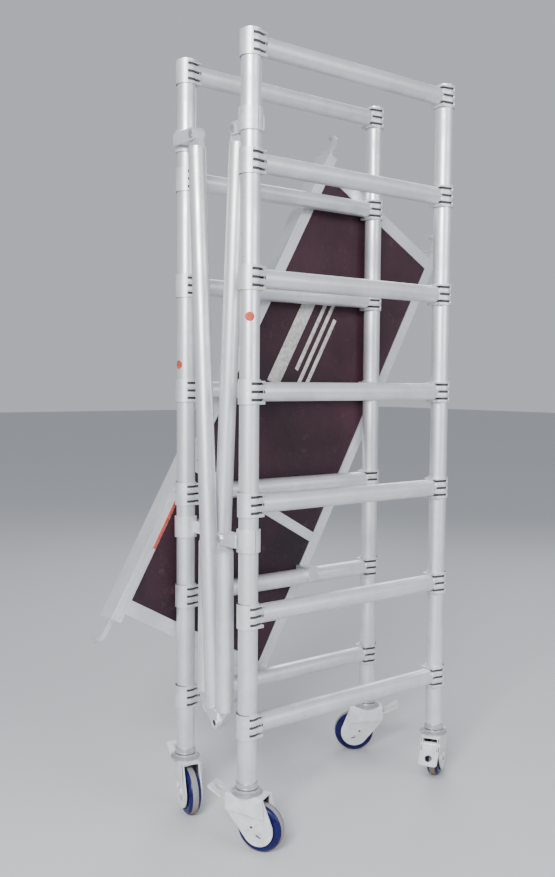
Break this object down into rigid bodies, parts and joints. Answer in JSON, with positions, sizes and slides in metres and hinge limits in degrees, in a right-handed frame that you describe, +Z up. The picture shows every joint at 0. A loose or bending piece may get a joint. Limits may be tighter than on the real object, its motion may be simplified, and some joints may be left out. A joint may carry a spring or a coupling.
{
  "type": "folding frame scaffold section",
  "caption": "Folding aluminium rung-frame scaffold section on braked swivel casters, with two folding diagonals and a platform deck stowed on its back.",
  "frame": {"origin": "on the floor, under the middle of the whole folded outline", "axes": "+X along the rungs from the braced side, +Y from the front frame to the stowed deck, +Z up"},
  "size_m": [1.2894, 0.489, 2.03],
  "materials": {
    "tread": "grey non-marking tread, worn",
    "wheel_core": "dark blue moulded core",
    "zinc_steel": "bright zinc plate",
    "pressed_fork": "pale grey pressed steel",
    "pedal": "pale grey pressed steel",
    "rivet": "domed rivets",
    "phenolic_board": "dark film-faced plywood",
    "cast_alloy": "fine cast, tumbled",
    "claw_alloy": "cast, worn by rungs",
    "deck_profile": "mill-finish extrusion",
    "brace_fitting": "cast and machined",
    "brace_tube": "satin drawn tube",
    "rung_tube": "satin ribbed tube",
    "upright_tube": "satin drawn tube"
  },
  "bodies": {
    "front_frame": {"front_left_upright": "upright_tube", "front_right_upright": "upright_tube", "front_rungs": "rung_tube", "front_rung_collars": "cast_alloy", "front_upper_clamp": "cast_alloy", "front_lower_clamp": "cast_alloy", "front_clamp_bolts": "zinc_steel", "front_left_caster_stem": "zinc_steel", "front_right_caster_stem": "zinc_steel"},
    "front_long_brace": {"front_long_brace_tube": "brace_tube", "front_long_brace_ends": "brace_fitting", "front_knuckle_bolt": "zinc_steel"},
    "rear_short_brace": {"rear_short_brace_tube": "brace_tube", "rear_short_brace_ends": "brace_fitting"},
    "rear_frame": {"rear_left_upright": "upright_tube", "rear_right_upright": "upright_tube", "rear_rungs": "rung_tube", "rear_rung_collars": "cast_alloy", "rear_upper_clamp": "cast_alloy", "rear_lower_clamp": "cast_alloy", "rear_clamp_bolts": "zinc_steel", "rear_left_caster_stem": "zinc_steel", "rear_right_caster_stem": "zinc_steel"},
    "rear_long_brace": {"rear_long_brace_tube": "brace_tube", "rear_long_brace_ends": "brace_fitting", "rear_knuckle_bolt": "zinc_steel"},
    "front_short_brace": {"front_short_brace_tube": "brace_tube", "front_short_brace_ends": "brace_fitting"},
    "deck": {"deck_board_rivets": "rivet", "deck_claws": "claw_alloy", "deck_cross_profile": "deck_profile", "deck_end_profiles": "deck_profile", "deck_lower_board": "phenolic_board", "deck_lower_rail": "deck_profile", "deck_stowage_hooks": "claw_alloy", "deck_upper_board": "phenolic_board", "deck_upper_rail": "deck_profile"},
    "front_left_caster": {"front_left_caster_fork": "pressed_fork", "front_left_axle_and_pedal_pin": "zinc_steel"},
    "front_left_wheel": {"front_left_wheel_tread": "tread", "front_left_wheel_hub": "wheel_core"},
    "front_left_brake": {"front_left_brake_pedal": "pedal"},
    "front_right_caster": {"front_right_caster_fork": "pressed_fork", "front_right_axle_and_pedal_pin": "zinc_steel"},
    "front_right_wheel": {"front_right_wheel_tread": "tread", "front_right_wheel_hub": "wheel_core"},
    "front_right_brake": {"front_right_brake_pedal": "pedal"},
    "rear_left_caster": {"rear_left_caster_fork": "pressed_fork", "rear_left_axle_and_pedal_pin": "zinc_steel"},
    "rear_left_wheel": {"rear_left_wheel_tread": "tread", "rear_left_wheel_hub": "wheel_core"},
    "rear_left_brake": {"rear_left_brake_pedal": "pedal"},
    "rear_right_caster": {"rear_right_caster_fork": "pressed_fork", "rear_right_axle_and_pedal_pin": "zinc_steel"},
    "rear_right_wheel": {"rear_right_wheel_tread": "tread", "rear_right_wheel_hub": "wheel_core"},
    "rear_right_brake": {"rear_right_brake_pedal": "pedal"}
  },
  "joints": [
    {"name": "fold", "type": "hinge", "parent": "front_frame", "child": "front_long_brace", "pos_m": [-0.36681, -0.06003, 1.816], "axis": [1, 0, 0], "range_deg": [0, 35.73]},
    {"name": "front_knee", "type": "hinge", "parent": "front_long_brace", "child": "rear_short_brace", "pos_m": [-0.36681, 0.05497, 0.306], "axis": [1, 0, 0], "range_deg": [-108.43, 0]},
    {"name": "rear_frame_pivot", "type": "hinge", "parent": "rear_short_brace", "child": "rear_frame", "pos_m": [-0.36681, 0.07397, 0.786], "axis": [1, 0, 0], "range_deg": [0, 72.7]},
    {"name": "rear_long_brace_pivot", "type": "hinge", "parent": "rear_frame", "child": "rear_long_brace", "pos_m": [-0.41881, 0.05197, 1.816], "axis": [1, 0, 0], "range_deg": [-36.23, 0]},
    {"name": "rear_knee", "type": "hinge", "parent": "rear_long_brace", "child": "front_short_brace", "pos_m": [-0.41881, -0.06303, 0.306], "axis": [1, 0, 0], "range_deg": [0, 108.43]},
    {"name": "deck_lift", "type": "slide", "parent": "rear_frame", "child": "deck", "axis": [0, 0, 1], "range_m": [0, 0.15]},
    {"name": "front_left_swivel", "type": "hinge", "parent": "front_frame", "child": "front_left_caster", "pos_m": [-0.39281, -0.14803, 0.142], "axis": [0, 0, 1], "continuous": true},
    {"name": "front_left_roll", "type": "hinge", "parent": "front_left_caster", "child": "front_left_wheel", "pos_m": [-0.37465, -0.18367, 0.0625], "axis": [0.891, 0.454, 0], "continuous": true},
    {"name": "front_left_brake_press", "type": "hinge", "parent": "front_left_caster", "child": "front_left_brake", "pos_m": [-0.41188, -0.11061, 0.118], "axis": [0.891, 0.454, 0], "range_deg": [-70, 0]},
    {"name": "front_right_swivel", "type": "hinge", "parent": "front_frame", "child": "front_right_caster", "pos_m": [0.29719, -0.14803, 0.142], "axis": [0, 0, 1], "continuous": true},
    {"name": "front_right_roll", "type": "hinge", "parent": "front_right_caster", "child": "front_right_wheel", "pos_m": [0.33111, -0.12683, 0.0625], "axis": [-0.5299, 0.848, 0], "continuous": true},
    {"name": "front_right_brake_press", "type": "hinge", "parent": "front_right_caster", "child": "front_right_brake", "pos_m": [0.26157, -0.17029, 0.118], "axis": [-0.5299, 0.848, 0], "range_deg": [0, 70]},
    {"name": "rear_left_swivel", "type": "hinge", "parent": "rear_frame", "child": "rear_left_caster", "pos_m": [-0.39281, 0.13997, 0.142], "axis": [0, 0, 1], "continuous": true},
    {"name": "rear_left_roll", "type": "hinge", "parent": "rear_left_caster", "child": "rear_left_wheel", "pos_m": [-0.40384, 0.10152, 0.0625], "axis": [0.9613, -0.2756, 0], "continuous": true},
    {"name": "rear_left_brake_press", "type": "hinge", "parent": "rear_left_caster", "child": "rear_left_brake", "pos_m": [-0.38123, 0.18034, 0.118], "axis": [0.9613, -0.2756, 0], "range_deg": [-70, 0]},
    {"name": "rear_right_swivel", "type": "hinge", "parent": "rear_frame", "child": "rear_right_caster", "pos_m": [0.29719, 0.13997, 0.142], "axis": [0, 0, 1], "continuous": true},
    {"name": "rear_right_roll", "type": "hinge", "parent": "rear_right_caster", "child": "rear_right_wheel", "pos_m": [0.26567, 0.1646, 0.0625], "axis": [-0.6157, -0.788, 0], "continuous": true},
    {"name": "rear_right_brake_press", "type": "hinge", "parent": "rear_right_caster", "child": "rear_right_brake", "pos_m": [0.33029, 0.11411, 0.118], "axis": [-0.6157, -0.788, 0], "range_deg": [-70, 0]}
  ],
  "couplings": [
    {"joint": "front_knee", "follows": "fold", "ratio": -3.0208},
    {"joint": "rear_frame_pivot", "follows": "fold", "ratio": 2.0208},
    {"joint": "rear_long_brace_pivot", "follows": "fold", "ratio": -1},
    {"joint": "rear_knee", "follows": "fold", "ratio": 3.0208}
  ]
}
